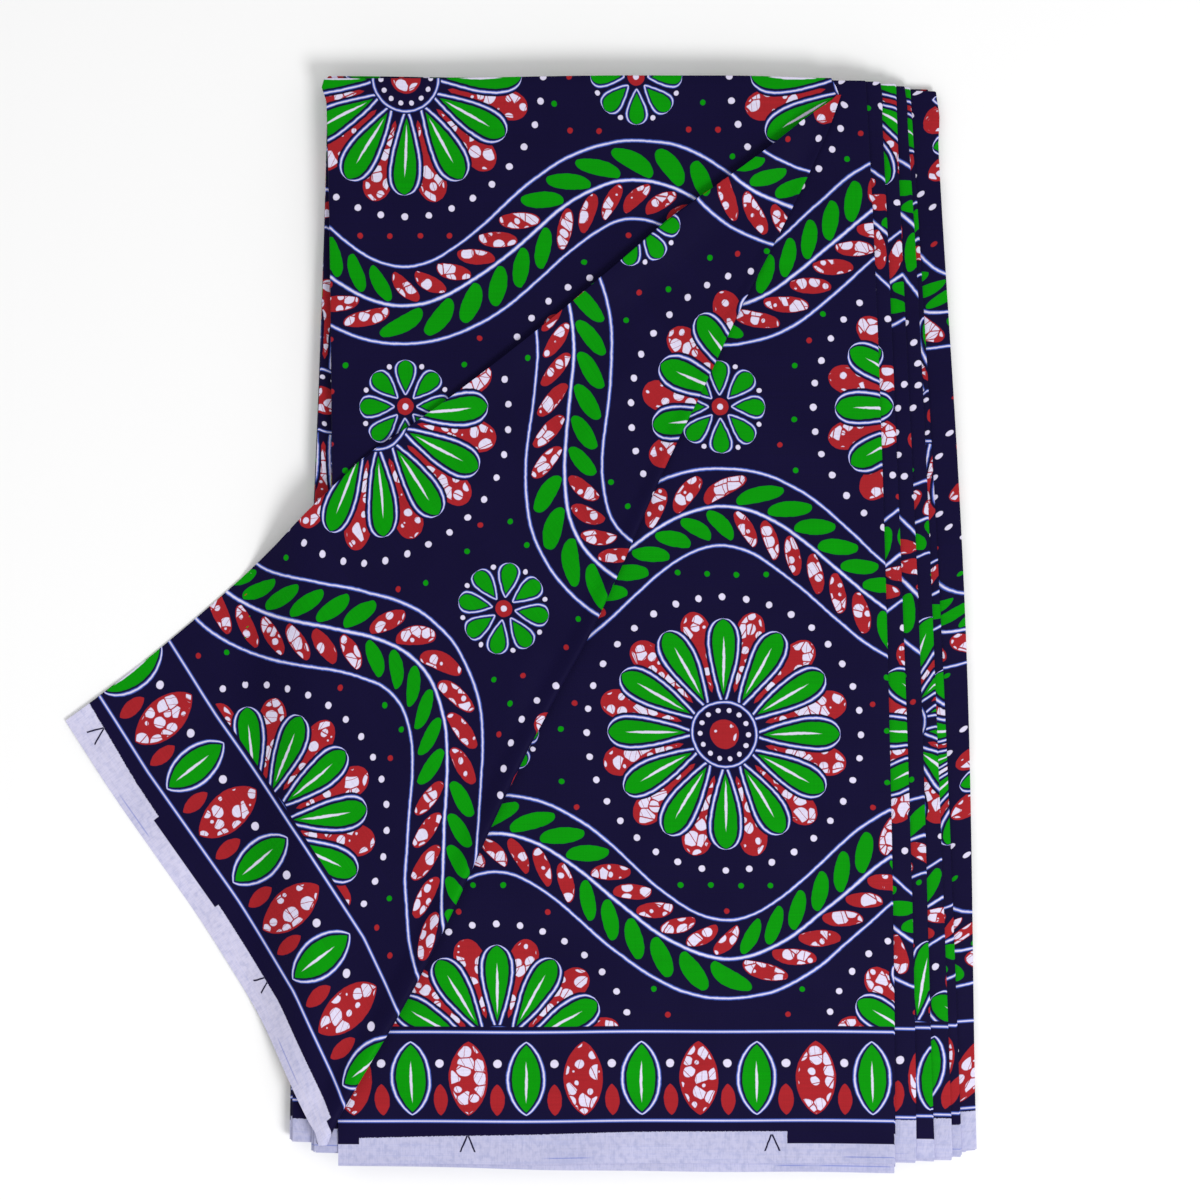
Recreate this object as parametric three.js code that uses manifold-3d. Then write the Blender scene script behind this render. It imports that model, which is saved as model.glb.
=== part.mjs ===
// A length of wax print cotton, folded in half across its width, then to and fro into sixteen
// doubled leaves, and laid flat with the loose end of the top leaf turned over to the left.
// Millimetres, +Z up. The half fold is the far end (+Y) and the selvages are the near end (-Y).
// The origin is on the surface that the cloth rests on, below the middle of its outline.
import * as THREE from "three";
import { mergeVertices } from "three/addons/utils/BufferGeometryUtils.js";
import Module from "manifold-3d";

const wasm = await Module();
wasm.setup();

// Thicknesses
const LEAF = 1.0; // a doubled leaf: two plies of cotton and the air between them
const WALL = 1.2; // the top leaf and its turned corner, which lie more loosely
const SEAM_GAP = 0.3; // between pieces that lie on each other
const LEAF_OVERLAP = 0.04; // how far two leaves of one piece sink into each other
const EDGE_ROUND = 0.42; // the rounding at the rim of a leaf
const FOLD_STRIP = 9; // how far a fold's full thickness reaches in from its edge
const FOLD_SETBACK = 1; // how far a fold stops short of the leaves' two ends

// Stations along the cloth at which the fold edges are given, from the selvages to the half fold
const STATION_Y = { near: -290, low: -147, middle: 0, high: 147, far: 293 };

// The leaves below the top one, from the surface upwards: the x of the fold edges on the right and
// left at the stations, and the y of the near and far ends at their left and right corners. Insets
// has a number for each doubled leaf in the piece, from the lowest up: how far its rim stops short.
const FOLDED_LEAVES = [
  {
    name: "stack_core",
    insets: [5.5, 3.5, 6.0, 0, 0],
    right: { near: 246.2, low: 243.8, middle: 240.2, high: 232.5, far: 224.2 },
    left: { near: -124.9, low: -121.0, middle: -114.6, high: -108.4, far: -104.4 },
    nearY: { left: -278.5, right: -281.6 },
    farY: { left: 292.0, right: 288.1 },
  },
  {
    name: "leaves_10_and_11",
    insets: [0.8, 0],
    right: { near: 238.0, low: 233.0, middle: 226.8, high: 219.0, far: 210.2 },
    left: { near: -118.5, low: -113.5, middle: -109.0, high: -105.0, far: -103.6 },
    nearY: { left: -280.5, right: -288.4 },
    farY: { left: 292.6, right: 289.4 },
  },
  {
    name: "leaves_8_and_9",
    insets: [0, 1.1],
    right: { near: 232.8, low: 227.9, middle: 222.3, high: 216.0, far: 207.0 },
    left: { near: -113.1, low: -110.0, middle: -106.4, high: -103.6, far: -103.0 },
    nearY: { left: -283.3, right: -288.9 },
    farY: { left: 293.0, right: 290.0 },
  },
  {
    name: "leaves_6_and_7",
    insets: [1.3, 0],
    right: { near: 223.1, low: 219.0, middle: 214.6, high: 208.2, far: 202.2 },
    left: { near: -107.4, low: -106.0, middle: -104.2, high: -102.6, far: -103.4 },
    nearY: { left: -284.6, right: -289.8 },
    farY: { left: 293.4, right: 290.4 },
  },
  {
    name: "leaves_4_and_5",
    insets: [0, 0.7],
    right: { near: 212.9, low: 210.7, middle: 206.0, high: 200.3, far: 193.6 },
    left: { near: -102.6, low: -102.4, middle: -102.2, high: -102.0, far: -103.8 },
    nearY: { left: -286.5, right: -290.8 },
    farY: { left: 293.8, right: 291.2 },
  },
  {
    name: "leaves_2_and_3",
    insets: [0.9, 0],
    right: { near: 201.4, low: 200.2, middle: 197.0, high: 192.5, far: 185.5 },
    left: { near: -98.4, low: -99.3, middle: -100.4, high: -101.4, far: -104.2 },
    nearY: { left: -290.6, right: -295.0 },
    farY: { left: 294.2, right: 292.0 },
  },
];

// The top leaf: its left fold edge and its far end, which is the half fold
const TOP_LEAF = {
  left: { near: -99.0, low: -99.9, middle: -100.8, high: -101.8, far: -104.7 },
  farY: { left: 293.9, middle: 295.0, right: 293.4 },
  farMiddleX: 60,
  farRightX: 166,
  tipWidth: 5, // where the leaf runs out, at the foot of the turned corner
};

// The turned corner hinges on a straight diagonal line, from a point near the far right corner to
// the near left corner. Along it the sections give how far the soft fold lies off that line, and
// how far the cloth reaches from it to its cut end (to 486) or its selvage (past 486).
const HINGE = { from: { x: 172.1, y: 284.3 }, to: { x: -102.8, y: -279.0 } };
const CORNER_SECTIONS = [
  { along: 5, fold: -0.6, reach: 6.5 },
  { along: 20, fold: -2.4, reach: 12 },
  { along: 41, fold: -3.2, reach: 21.5 },
  { along: 64, fold: -3.2, reach: 33.8 },
  { along: 98, fold: -2.6, reach: 52.3 },
  { along: 130, fold: -1.8, reach: 66.3 },
  { along: 174, fold: -2.8, reach: 85.7 },
  { along: 214, fold: -2.6, reach: 105.1 },
  { along: 251, fold: -4.0, reach: 123.9 },
  { along: 285, fold: -5.6, reach: 143.7 },
  { along: 323, fold: -6.2, reach: 158.5 },
  { along: 347, fold: -4.6, reach: 165.9 },
  { along: 389, fold: -3.2, reach: 182.6 },
  { along: 427, fold: -3.4, reach: 199.1 },
  { along: 460, fold: -4.4, reach: 214.8 },
  { along: 486, fold: -5.0, reach: 228.7 },
  { along: 512, fold: -5.0, reach: 186.2 },
  { along: 532, fold: -4.4, reach: 149.8 },
  { along: 552, fold: -3.2, reach: 113.4 },
  { along: 568, fold: -1.8, reach: 87.6 },
  { along: 584, fold: -0.6, reach: 62.3 },
  { along: 598, fold: 0.6, reach: 44.6 },
  { along: 610, fold: 1.4, reach: 29.4 },
  { along: 619, fold: 1.2, reach: 17.7 },
  { along: 624, fold: 0.8, reach: 11.6 },
];
const FOLD_RADIUS = { far: 1.6, near: 2.9 }; // of the soft fold, at the two ends of the hinge
const FOLD_STEPS = 6; // facets round the half turn of the soft fold
const MOST_FOLD = 0.33; // of a section's reach, the most that the fold's radius takes up
const SETTLE = 9; // fold radii over which the cloth comes down from the fold
const REACH_STEPS = 24; // facets from the soft fold to the edge
const REACH_CROWDING = 1.15; // above 1 they are narrower near the fold
const SECTION_STEP = 18; // the most that two sections lie apart
const DROP = { startX: -107, width: 42 }; // where the corner leaves the stack, and lands beside it

const COLOURS = { navy: 0x1a1440, green: 0x1a6e1e, red: 0x7a2430, indigo: 0x241c52 };

// Value at y of a fold edge that is given at the stations
function edgeAt(edge, y) {
  const stops = Object.keys(STATION_Y);
  let below = 0;
  while (below < stops.length - 2 && y > STATION_Y[stops[below + 1]]) below += 1;
  const from = stops[below];
  const to = stops[below + 1];
  const share = (y - STATION_Y[from]) / (STATION_Y[to] - STATION_Y[from]);
  return THREE.MathUtils.lerp(edge[from], edge[to], share);
}

// Points of a fold edge between two heights, from the near one to the far one
function edgePoints(edge, nearY, farY, shift) {
  const between = Object.values(STATION_Y).filter((y) => y > nearY + 2 && y < farY - 2);
  return [nearY, ...between, farY].map((y) => new THREE.Vector2(edgeAt(edge, y) + shift, y));
}

// A closed geometry as a solid that can be joined to others
function solidOf(geometry) {
  const bare = geometry.clone();
  bare.deleteAttribute("normal");
  bare.deleteAttribute("uv");
  const merged = mergeVertices(bare, 1e-4);
  const mesh = new wasm.Mesh({
    numProp: 3,
    vertProperties: new Float32Array(merged.getAttribute("position").array),
    triVerts: new Uint32Array(merged.index.array),
  });
  return new wasm.Manifold(mesh);
}

// A solid as a geometry
function geometryOf(solid) {
  const { vertProperties, triVerts } = solid.getMesh();
  const geometry = new THREE.BufferGeometry();
  geometry.setAttribute("position", new THREE.BufferAttribute(vertProperties, 3));
  geometry.setIndex(new THREE.BufferAttribute(triVerts, 1));
  return geometry;
}

// A flat piece of cloth with a rounded rim
function plate(outline, low, thickness) {
  const geometry = new THREE.ExtrudeGeometry(new THREE.Shape(outline), {
    depth: thickness - 2 * EDGE_ROUND,
    bevelEnabled: true,
    bevelThickness: EDGE_ROUND,
    bevelSize: EDGE_ROUND,
    bevelOffset: -EDGE_ROUND,
    bevelSegments: 2,
  });
  return geometry.translate(0, 0, low + EDGE_ROUND);
}

// Leaves that lie on each other, joined by the fold along their right edge where two of them share
// it. The rims stay apart, so that the piece is layered at its edges.
function foldedLeaves(row, low) {
  const pitch = LEAF - LEAF_OVERLAP;
  const solids = row.insets.map((inset, index) => {
    const right = edgePoints(row.right, row.nearY.right + inset, row.farY.right - inset, -inset);
    const left = edgePoints(row.left, row.nearY.left + inset, row.farY.left - inset, inset);
    return solidOf(plate([...right, ...left.reverse()], low + index * pitch, LEAF));
  });
  const topTwo = low + (row.insets.length - 2) * pitch;
  const nearEnd = row.nearY.right + FOLD_SETBACK;
  const farEnd = row.farY.right - FOLD_SETBACK;
  const rim = edgePoints(row.right, nearEnd, farEnd, 0);
  const inner = edgePoints(row.right, nearEnd, farEnd, -FOLD_STRIP);
  solids.push(solidOf(plate([...rim, ...inner.reverse()], topTwo, LEAF + pitch)));
  return geometryOf(solids.reduce((whole, part) => whole.add(part)));
}

const HINGE_FROM = new THREE.Vector2(HINGE.from.x, HINGE.from.y);
const HINGE_TO = new THREE.Vector2(HINGE.to.x, HINGE.to.y);
const HINGE_LENGTH = HINGE_FROM.distanceTo(HINGE_TO);
const HINGE_WAY = HINGE_TO.clone().sub(HINGE_FROM).normalize();
const HINGE_LEFT = new THREE.Vector2(HINGE_WAY.y, -HINGE_WAY.x);

// The point at a distance along the hinge line and off it, on its left
function offHinge(along, off) {
  return HINGE_FROM.clone().addScaledVector(HINGE_WAY, along).addScaledVector(HINGE_LEFT, off);
}

function foldRadius(along) {
  return THREE.MathUtils.lerp(FOLD_RADIUS.far, FOLD_RADIUS.near, along / HINGE_LENGTH);
}

// The top leaf, which ends where the soft fold of the turned corner begins
function topLeaf(low) {
  const left = edgePoints(TOP_LEAF.left, STATION_Y.near, TOP_LEAF.farY.left, 0);
  const seam = CORNER_SECTIONS.map(({ along, fold }) =>
    offHinge(along, fold + foldRadius(along) + SEAM_GAP),
  ).filter((point) => point.x > edgeAt(TOP_LEAF.left, point.y) + TOP_LEAF.tipWidth);
  const tipY = seam.at(-1).y;
  const side = left.filter((point) => point.y > tipY);
  const tip = new THREE.Vector2(edgeAt(TOP_LEAF.left, tipY), tipY);
  const farMiddle = new THREE.Vector2(TOP_LEAF.farMiddleX, TOP_LEAF.farY.middle);
  const farRight = new THREE.Vector2(TOP_LEAF.farRightX, TOP_LEAF.farY.right);
  return plate([...seam.reverse(), farRight, farMiddle, ...side.reverse(), tip], low, WALL);
}

// How far the support below the turned corner has fallen, from 0 on the stack to 1 on the surface
function dropShare(x) {
  const share = THREE.MathUtils.clamp((DROP.startX - x) / DROP.width, 0, 1);
  return (1 - Math.cos(Math.PI * share)) / 2;
}

// One section across the turned corner, as points on the middle of its wall: round the soft fold
// from the top leaf's edge, then down onto the top leaf and over the left edge of the stack.
function cornerSection({ along, fold, reach }, leafMiddle, cornerMiddle) {
  const radius = Math.min(foldRadius(along), (reach - fold) * MOST_FOLD);
  const points = [];
  for (let step = 0; step <= FOLD_STEPS; step += 1) {
    const turn = (Math.PI * step) / FOLD_STEPS;
    const off = fold + radius * (1 - Math.sin(turn));
    points.push({ off, height: leafMiddle - cornerMiddle + radius * (1 - Math.cos(turn)) });
  }
  const crest = points.at(-1);
  for (let step = 1; step <= REACH_STEPS; step += 1) {
    const share = step / REACH_STEPS;
    const off = THREE.MathUtils.lerp(crest.off, reach, share ** REACH_CROWDING);
    const settled = Math.min(1, (off - crest.off) / (SETTLE * radius));
    points.push({ off, height: (crest.height * (1 + Math.cos(Math.PI * settled))) / 2 });
  }
  return points.map(({ off, height }) => {
    const spot = offHinge(along, off);
    const fallen = dropShare(spot.x) * (cornerMiddle - WALL / 2);
    const middle = Math.max(WALL / 2, cornerMiddle + height - fallen);
    return new THREE.Vector3(spot.x, spot.y, middle);
  });
}

// A closed wall of cloth on both sides of a grid of points
function clothWall(grid, thickness) {
  const rows = grid.length;
  const columns = grid[0].length;
  const at = (i, j) =>
    grid[THREE.MathUtils.clamp(i, 0, rows - 1)][THREE.MathUtils.clamp(j, 0, columns - 1)];
  const positions = [];
  for (const side of [1, -1]) {
    for (let i = 0; i < rows; i += 1) {
      for (let j = 0; j < columns; j += 1) {
        const across = at(i, j + 1).clone().sub(at(i, j - 1));
        const alongside = at(i + 1, j).clone().sub(at(i - 1, j));
        const out = across.cross(alongside).normalize();
        const point = at(i, j).clone().addScaledVector(out, (side * thickness) / 2);
        positions.push(point.x, point.y, Math.max(0, point.z));
      }
    }
  }
  const index = [];
  const quad = (a, b, c, d) => index.push(a, b, d, b, c, d);
  const id = (side, i, j) => side * rows * columns + i * columns + j;
  for (let i = 0; i < rows - 1; i += 1) {
    for (let j = 0; j < columns - 1; j += 1) {
      quad(id(0, i, j), id(0, i, j + 1), id(0, i + 1, j + 1), id(0, i + 1, j));
      quad(id(1, i, j + 1), id(1, i, j), id(1, i + 1, j), id(1, i + 1, j + 1));
    }
    quad(id(0, i, 0), id(0, i + 1, 0), id(1, i + 1, 0), id(1, i, 0));
    const last = columns - 1;
    quad(id(0, i + 1, last), id(0, i, last), id(1, i, last), id(1, i + 1, last));
  }
  for (let j = 0; j < columns - 1; j += 1) {
    const last = rows - 1;
    quad(id(0, 0, j + 1), id(0, 0, j), id(1, 0, j), id(1, 0, j + 1));
    quad(id(0, last, j), id(0, last, j + 1), id(1, last, j + 1), id(1, last, j));
  }
  const geometry = new THREE.BufferGeometry();
  geometry.setAttribute("position", new THREE.Float32BufferAttribute(positions, 3));
  geometry.setIndex(index);
  return geometry;
}

// The sections of the turned corner with more worked out between them, no further apart than a step
function filledSections() {
  const filled = [CORNER_SECTIONS[0]];
  for (const next of CORNER_SECTIONS.slice(1)) {
    const last = filled.at(-1);
    const parts = Math.ceil((next.along - last.along) / SECTION_STEP);
    for (let part = 1; part <= parts; part += 1) {
      const between = (key) => THREE.MathUtils.lerp(last[key], next[key], part / parts);
      filled.push({ along: between("along"), fold: between("fold"), reach: between("reach") });
    }
  }
  return filled;
}

function turnedCorner(leafLow, cornerLow) {
  const sections = filledSections().map((section) =>
    cornerSection(section, leafLow + WALL / 2, cornerLow + WALL / 2),
  );
  return clothWall(sections, WALL);
}

function namedMesh(name, geometry, colour) {
  geometry.computeVertexNormals();
  const cotton = new THREE.MeshStandardMaterial({ color: colour, roughness: 0.8, metalness: 0 });
  const mesh = new THREE.Mesh(geometry, cotton);
  mesh.name = name;
  return mesh;
}

const fabric = new THREE.Group();
let level = 0;
for (const row of FOLDED_LEAVES) {
  const colour = row.name === "stack_core" ? COLOURS.indigo : COLOURS.navy;
  fabric.add(namedMesh(row.name, foldedLeaves(row, level), colour));
  level += LEAF + (row.insets.length - 1) * (LEAF - LEAF_OVERLAP) + SEAM_GAP;
}
const cornerLevel = level + WALL + SEAM_GAP;
fabric.add(namedMesh("top_leaf", topLeaf(level), COLOURS.green));
fabric.add(namedMesh("turned_corner", turnedCorner(level, cornerLevel), COLOURS.red));

export default fabric;
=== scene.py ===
"""Folded length of wax print cotton: the cloth, its print, the floor, the lights and the camera.

The cloth is one length, doubled at the half fold and folded to and fro into leaves. Each leaf is
two plies. Lengths are in millimetres until a mesh is made, except where a name says metres.
Cloth coordinates are s, along the length, and t, across the width from selvage to selvage.
"""

import math

import bpy
import numpy as np
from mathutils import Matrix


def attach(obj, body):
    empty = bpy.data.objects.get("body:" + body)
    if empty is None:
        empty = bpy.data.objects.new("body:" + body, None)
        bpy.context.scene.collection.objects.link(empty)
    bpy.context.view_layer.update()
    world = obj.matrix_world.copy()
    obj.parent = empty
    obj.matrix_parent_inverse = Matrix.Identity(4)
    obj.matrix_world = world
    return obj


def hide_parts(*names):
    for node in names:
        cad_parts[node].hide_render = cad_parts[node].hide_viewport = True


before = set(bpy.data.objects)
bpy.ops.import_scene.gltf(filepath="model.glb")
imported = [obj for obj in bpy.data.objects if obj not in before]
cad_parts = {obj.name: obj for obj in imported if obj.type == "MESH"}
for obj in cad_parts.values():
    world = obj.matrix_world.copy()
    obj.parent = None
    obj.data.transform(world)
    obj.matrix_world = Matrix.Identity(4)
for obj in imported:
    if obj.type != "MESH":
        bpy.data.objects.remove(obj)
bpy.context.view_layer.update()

MM = 0.001

# The cloth
CLOTH_WIDTH = 1168.0
HALF_WIDTH = CLOTH_WIDTH / 2
PLY = 0.32  # thickness of the cotton
PLY_OFFSET = 0.275  # from the middle of a leaf to the middle of each ply
LEAF_PITCH = 1.1
TURN_RADIUS = LEAF_PITCH / 2
TURN_REACH = TURN_RADIUS + PLY_OFFSET + PLY / 2  # from the centre of a turn to its outside
LEAVES = 16
TOP_LEVEL = LEAF_PITCH * (LEAVES - 0.5)  # middle of leaf 1 above the surface
CORNER_LEVEL = TOP_LEVEL + LEAF_PITCH
FLOOR_LEVEL = LEAF_PITCH / 2  # middle of the turned corner where it lies on the surface

# The pieces of the cloth, and the CAD nodes that each one stands for
#   (name, first leaf, last leaf, nodes, flat length in metres)
PIECES = (
    ("cotton_top_leaf", 1, 1, ("top_leaf", "turned_corner"), 0.272),
    ("cotton_leaves_2_and_3", 2, 3, ("leaves_2_and_3",), 0.595),
    ("cotton_leaves_4_and_5", 4, 5, ("leaves_4_and_5",), 0.613),
    ("cotton_leaves_6_and_7", 6, 7, ("leaves_6_and_7",), 0.637),
    ("cotton_leaves_8_and_9", 8, 9, ("leaves_8_and_9",), 0.659),
    ("cotton_leaves_10_and_11", 10, 11, ("leaves_10_and_11",), 0.665),
    ("cotton_stack_core", 12, 16, ("stack_core",), 1.701),
)

# Where the fold edges lie: x at five stations in y
STATION_Y = (-290, -147, 0, 147, 293)
RIGHT_FOLDS = {
    2: (201.4, 200.2, 197.0, 192.5, 185.5),
    4: (212.9, 210.7, 206.0, 200.3, 193.6),
    6: (223.1, 219.0, 214.6, 208.2, 202.2),
    8: (232.8, 227.9, 222.3, 216.0, 207.0),
    10: (238.0, 233.0, 226.8, 219.0, 210.2),
    12: (246.2, 243.8, 240.2, 232.5, 224.2),
    14: (241.0, 240.2, 236.0, 229.5, 220.5),
    16: (236.5, 238.0, 233.0, 227.0, 222.0),
}
LEFT_FOLDS = {
    1: (-99.0, -99.9, -100.8, -101.8, -104.7),
    3: (-111.4, -106.6, -102.8, -101.2, -104.0),
    5: (-112.8, -107.8, -103.4, -101.5, -103.9),
    7: (-123.2, -119.8, -113.6, -107.8, -103.9),
    9: (-124.4, -120.4, -114.3, -108.3, -104.2),
    11: (-124.9, -121.0, -114.6, -108.4, -104.4),
    13: (-123.8, -120.2, -113.2, -107.4, -103.5),
    15: (-124.2, -119.2, -114.0, -107.9, -103.0),
}
# Where an edge bulges at the far end: y, how far in x, half width
BULGES = {
    1: (288.6, -2.3, 4.5),
    4: (285.0, 0.8, 6.0),
    8: (283.0, 0.7, 7.0),
    12: (279.5, 1.4, 9.0),
}
# y of each leaf's ends, each at its left and at its right
#   leaf: (ply 1, ply 1, ply 2, ply 2, half fold, half fold)
LEAF_ENDS = {
    1: (-290.0, -290.0, -289.0, -289.0, 293.9, 293.6),
    2: (-291.0, -295.0, -289.6, -289.4, 293.4, 292.0),
    3: (-283.4, -293.2, -282.7, -291.8, 294.2, 291.2),
    4: (-283.8, -289.2, -283.0, -288.2, 292.8, 291.4),
    5: (-282.9, -288.3, -283.5, -287.6, 293.8, 290.2),
    6: (-283.5, -288.9, -282.4, -287.0, 293.0, 290.6),
    7: (-278.9, -288.4, -278.3, -287.9, 293.4, 289.3),
    8: (-278.6, -288.0, -277.9, -286.6, 292.2, 290.1),
    9: (-277.8, -287.2, -278.7, -286.9, 293.0, 289.0),
    10: (-278.4, -286.4, -277.6, -285.4, 291.4, 289.6),
    11: (-278.0, -285.0, -278.6, -284.6, 292.6, 288.3),
    12: (-277.9, -284.4, -277.3, -283.8, 292.0, 288.4),
    13: (-277.2, -283.6, -278.2, -283.9, 290.9, 287.4),
    14: (-278.3, -284.1, -277.4, -284.6, 291.8, 288.8),
    15: (-277.5, -283.2, -278.4, -284.0, 292.3, 287.6),
    16: (-278.1, -284.3, -277.6, -283.5, 291.2, 288.6),
}
LEAF_LEFT_X = -100.0  # where the left values hold
LEAF_SPAN = 300.0  # from there to where the right ones do
SLANTED_CORNER = {"first_leaf": 10, "start_x": 232.0, "rise": 0.3}  # of the selvage ends
CUT_EDGE_FAR_X = 167.0  # of leaf 1 at the half fold

# The soft fold that the loose end is turned over on, from the apex to the foot
FOLD_START = np.array((172.1, 284.3))
FOLD_END = np.array((-102.8, -279.0))
FOLD_LINE = (FOLD_END - FOLD_START) / np.linalg.norm(FOLD_END - FOLD_START)
FOLD_SIDE = np.array((FOLD_LINE[1], -FOLD_LINE[0]))  # towards the turned corner
# Along the straight line from apex to foot, and off it: the soft fold, and the corner's outline
#   (along, fold, outline)
CORNER_SECTIONS = np.array((
    (0, 0.0, 0.5),
    (20, -2.4, 12.0),
    (41, -3.2, 21.5),
    (64, -3.2, 33.8),
    (98, -2.6, 52.3),
    (130, -1.8, 66.3),
    (174, -2.8, 85.7),
    (214, -2.6, 105.1),
    (251, -4.0, 123.9),
    (285, -5.6, 143.7),
    (323, -6.2, 158.5),
    (347, -4.6, 165.9),
    (389, -3.2, 182.6),
    (427, -3.4, 199.1),
    (460, -4.4, 214.8),
    (486, -5.0, 228.7),
    (512, -5.0, 186.2),
    (532, -4.4, 149.8),
    (552, -3.2, 113.4),
    (568, -1.8, 87.6),
    (584, -0.6, 62.3),
    (598, 0.6, 44.6),
    (610, 1.4, 29.4),
    (619, 1.2, 17.7),
    (627, 0.6, 4.0),
))
TIP_ALONG, _, TIP_REACH = CORNER_SECTIONS[CORNER_SECTIONS[:, 2].argmax()]
CORNER_TIP = FOLD_START + TIP_ALONG * FOLD_LINE + TIP_REACH * FOLD_SIDE
LINE_SMOOTHING = {"reach": 11, "passes": 7, "room": 30}  # of the soft fold and the outline
ROLL_RADIUS = {"apex": 0.55, "foot": 2.7}
SETTLE = 5.5  # roll radii over which the cloth comes down from the soft fold
FOLD_MARGIN = 14  # beside the soft fold, where creases and lifted edges fade out
DROP = {"start_x": -109.5, "width": 44.0}
LEAST_WIDTH = 1.2  # of the turned corner at its two tips
TIP_WIDTH = 5.0  # of the top leaf at the foot of the soft fold
LEAST_LEAF = 1.5  # of the flat part of the top leaf there

# Directions in the turned corner, and how far its edges bow: (distance from the tip, bow)
ALONG_CUT = np.array((0.7794, 0.6265))
ALONG_SELVAGE = np.array((0.5166, -0.8562))
SELVAGE_BOW = ((0, 0), (50, 1), (134, 7), (194, 9), (232, 5), (250, 3), (267, 0))
CUT_BOW = ((0, 0), (108, 0), (153, -3), (188, -7), (217, -9), (257, -6), (537, 0))

# How the turned corner's edges lie
SQUARE_SHARE = {"cut": 0.62, "selvage": 0.86}  # of a distance in x that is square to the edge
CUT_LIFT = {"least": 0.4, "rise": 3.2, "start": 120, "run": 330}  # off the leaf below
SELVAGE_LIFT = 0.5
LIFT_REACH = 24
SLIVER_RUN = 60  # along the cut edge, over which ply 1 begins to peep out below ply 2
FLOOR_WAVE = {"height": 0.9, "reach": 20}  # of the edge that lies on the surface

# Unevenness of the whole stack, and how its selvages and the folds on the right lift
RIPPLE_HEIGHT = 1.1
NEAR_LIFT = {"start_y": -262, "run": 30, "mean": 0.9, "slow": 0.8, "quick": 0.4}
SIDE_LIFT = {"start_x": 176, "run": 40, "height": 0.5}
FAR_RISE = {"height": 1.4, "start_y": 250, "start_x": -60, "start_run": 120, "end_x": 172, "end_run": 60}

# Soft ridges and troughs: from x, y to x, y, height (below nought for a trough), half width
STACK_CREASES = (
    (-60, 262, 52, 226, 0.55, 9),
    (-88, 120, -20, 156, -0.45, 8),
    (-96, 46, -58, -60, 0.40, 7),
    (96, 118, 186, 74, 0.60, 11),
    (60, -30, 168, -12, -0.50, 9),
    (88, -96, 192, -128, 0.70, 13),
    (-20, -176, 86, -214, 0.55, 10),
    (104, -232, 182, -206, -0.55, 9),
    (10, -262, 44, -196, 0.45, 8),
)
CORNER_CREASES = (
    (26, 64, 66, 150, 0.9, 8),
    (-8, -66, 20, 10, 0.7, 7),
    (-96, 20, 4, 96, 0.5, 10),
    (-176, -96, -84, -132, 0.8, 9),
    (-150, -28, -226, -50, 1.1, 10),
    (-132, -150, -96, -216, 0.7, 8),
)
CREASE_BEND = 0.06  # of its length
CREASE_END = 0.35  # of its length, over which it rises from nought

# The mesh
NEAR_Y = -290.0  # of the first row
FAR_Y = 293.0  # of the last row before the half fold
ROW_SPACING = 9.0
TOP_ROW_SPACING = 5.8
FAR_ROWS = (279.5, 288.6)  # at the bulges of the fold edges
HALF_FOLD_ROWS = 5
LEAF_STEPS = 36  # from one side edge of a leaf to the other
CORNER_STEPS = 56
CORNER_CROWDING = 1.35  # of the steps, towards the soft fold
SOFT_FOLD_STEPS = 10
TOP_LEAF_STEPS = 44
TURN_STEPS = 6
PIECE_GAP = 0.05  # where one piece of the cloth ends and the next one goes on
SHARP_ANGLE = 50.0  # in degrees
SAME_ROW = 0.01  # rows nearer to each other than this count as one

# The layout of the print. s is from the cut edge of leaf 1
REPEAT = 248.0  # along the length
ROW = 176.0  # across the width, from one row of flowers to the next
PRINT_SHIFT = 14.0  # along the length
FLOWER_SCALE = 0.88
ROSETTE_SCALE = 0.82
ROSETTE_ROWS = 2.5  # rows out from the half fold that have rosettes
GARLAND_SWING = 34.0
GARLAND_REACH = 21.0  # from the stem to the lines beside it
GARLAND_LEAVES = 18  # in a repeat, on each side
GARLAND_RUN = 6.0  # leaves of one colour
STEM_STRETCH = 1.17  # length of the stem for each millimetre along the cloth
STEM_EASE = 3.2
LEAF_SWEEP = 0.85
SEED_STEP = 16.0
SEED_ROW = 14.0
SEED_ROOM = {"garland": 25.0, "flower": 81.0, "rosette": 33.0}  # from the middle of each
BORDER_LEAVES = 8  # in a repeat
BORDER_REACH = 74.0  # from the selvage's edge, as the next two are
BORDER_LINES = (71.0, 23.0)
BORDER_FOOT = 26.0  # of the upright leaves
CRACKLE_SIZE = 7.0
DRAWN_LINE = {"halo": 0.30, "core": 0.25}  # past the line's half width, and short of it
OUTSIDE_FALL = 1.6  # of a leaf's or petal's depth, for each millimetre beyond its ends
TIP_INSET = 0.3  # closes a leaf or petal at its tip

# The selvage: dark blocks as (middle, repeat, half width) and waves as (crest, length, height)
SELVAGE_BLOCKS = ((556.0, 440.7, 29.0), (285.0, 371.0, 12.0))
SELVAGE_WAVES = ((505.0, 712.0, 3.5), (1217.0, 1363.0, 2.2))
SELVAGE_DEPTH = 15.8
BLOCK_EDGE = 10.5  # where a block stops short of the edge
STROKES = {"shift": 30.0, "repeat": 163.0, "top": 16.0, "spread": 0.42, "middle": 11.0, "half": 4.5}
DASH_EDGE = 3.4
GREYER = {"start": 274.0, "run": 12.0, "share": 0.5}  # the stack's selvages are less clean

# Sizes of the noise along s and t, and how far the print drifts with it
NOISE = {
    "drift": (55.0, 55.0),
    "wobble": (3.2, 3.2),
    "streaks": (70.0, 0.9),
    "hair": (0.7, 5.0),
    "slubs": (0.8, 45.0),
    "cloud": (38.0, 30.0),
}
DRIFT = 3.0
WOBBLE = 0.5
CRACKLE_DRIFT = 12.0

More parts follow.
